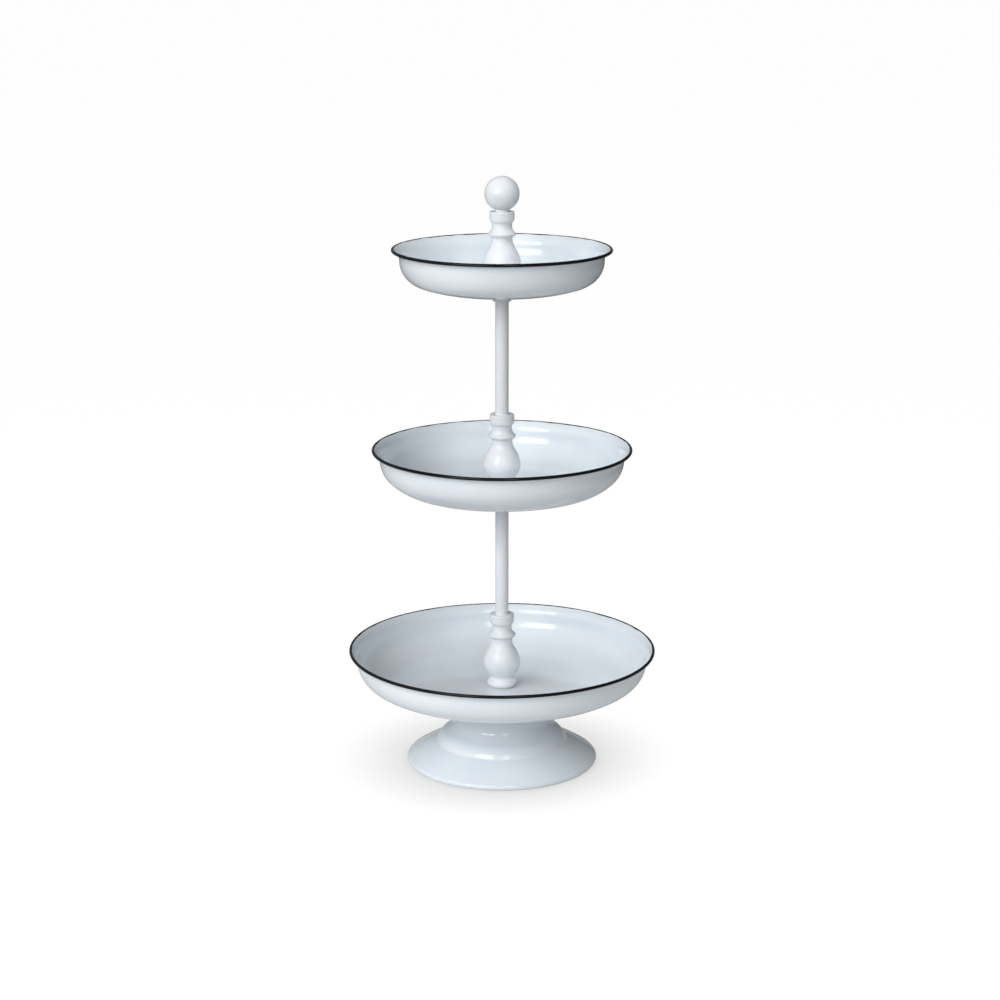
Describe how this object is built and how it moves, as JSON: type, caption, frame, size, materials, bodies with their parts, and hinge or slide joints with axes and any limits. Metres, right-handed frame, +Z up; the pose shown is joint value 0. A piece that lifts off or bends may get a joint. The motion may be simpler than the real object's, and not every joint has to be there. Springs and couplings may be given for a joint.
{
  "type": "tiered cake stand",
  "caption": "Free-standing tiered stand: round enamelled bowls with thin black rims on a turned white stem, a flared hollow pedestal and a ball finial.",
  "frame": {"origin": "on the floor, under the centre of the stem", "axes": "+Z up along the stem, +X to the right and +Y away in the front view; the part is round about Z"},
  "size_m": [0.305, 0.305, 0.5861],
  "materials": {
    "white_enamel": "gloss",
    "rim_enamel": "gloss",
    "white_paint": "satin gloss",
    "fibre": "matt",
    "plated_steel": "bright zinc plate"
  },
  "bodies": {
    "base": {"pedestal": "white_enamel", "crown_plate": "plated_steel", "base_nut": "plated_steel", "bottom_gasket": "fibre"},
    "bottom_tray": {"bottom_tray": "white_enamel"},
    "lower_lift": {"lower_foot_washer": "fibre"},
    "lower_column": {"lower_baluster": "white_paint", "lower_stud": "plated_steel", "lower_tube": "white_paint", "lower_socket": "plated_steel", "lower_seat": "white_paint", "middle_gasket": "fibre"},
    "middle_tray": {"middle_tray": "white_enamel"},
    "upper_lift": {"middle_foot_washer": "fibre"},
    "upper_column": {"middle_baluster": "white_paint", "middle_stud": "plated_steel", "upper_tube": "white_paint", "upper_socket": "plated_steel", "upper_seat": "white_paint", "top_gasket": "fibre"},
    "top_tray": {"top_tray": "white_enamel"},
    "finial_lift": {"top_foot_washer": "fibre"},
    "finial": {"top_baluster": "white_paint", "top_stud": "plated_steel", "finial_ball": "white_paint"}
  },
  "joints": [
    {"name": "bottom_tray_turn", "type": "hinge", "parent": "base", "child": "bottom_tray", "pos_m": [0, 0, 0.0748], "axis": [0, 0, 1], "continuous": true},
    {"name": "lower_column_rise", "type": "slide", "parent": "base", "child": "lower_lift", "axis": [0, 0, 1], "range_m": [0, 0.01061]},
    {"name": "lower_column_turn", "type": "hinge", "parent": "lower_lift", "child": "lower_column", "pos_m": [0, 0, 0.0775], "axis": [0, 0, 1], "range_deg": [0, 3816]},
    {"name": "middle_tray_turn", "type": "hinge", "parent": "lower_column", "child": "middle_tray", "pos_m": [0, 0, 0.2778], "axis": [0, 0, 1], "continuous": true},
    {"name": "upper_column_rise", "type": "slide", "parent": "lower_column", "child": "upper_lift", "axis": [0, 0, 1], "range_m": [0, 0.01381]},
    {"name": "upper_column_turn", "type": "hinge", "parent": "upper_lift", "child": "upper_column", "pos_m": [0, 0, 0.2805], "axis": [0, 0, 1], "range_deg": [0, 4968]},
    {"name": "top_tray_turn", "type": "hinge", "parent": "upper_column", "child": "top_tray", "pos_m": [0, 0, 0.4755], "axis": [0, 0, 1], "continuous": true},
    {"name": "finial_rise", "type": "slide", "parent": "upper_column", "child": "finial_lift", "axis": [0, 0, 1], "range_m": [0, 0.01381]},
    {"name": "finial_turn", "type": "hinge", "parent": "finial_lift", "child": "finial", "pos_m": [0, 0, 0.4782], "axis": [0, 0, 1], "range_deg": [0, 4968]}
  ],
  "couplings": [
    {"joint": "lower_column_turn", "follows": "lower_column_rise", "rad_per_m": 6283.2},
    {"joint": "upper_column_turn", "follows": "upper_column_rise", "rad_per_m": 6283.2},
    {"joint": "finial_turn", "follows": "finial_rise", "rad_per_m": 6283.2}
  ]
}
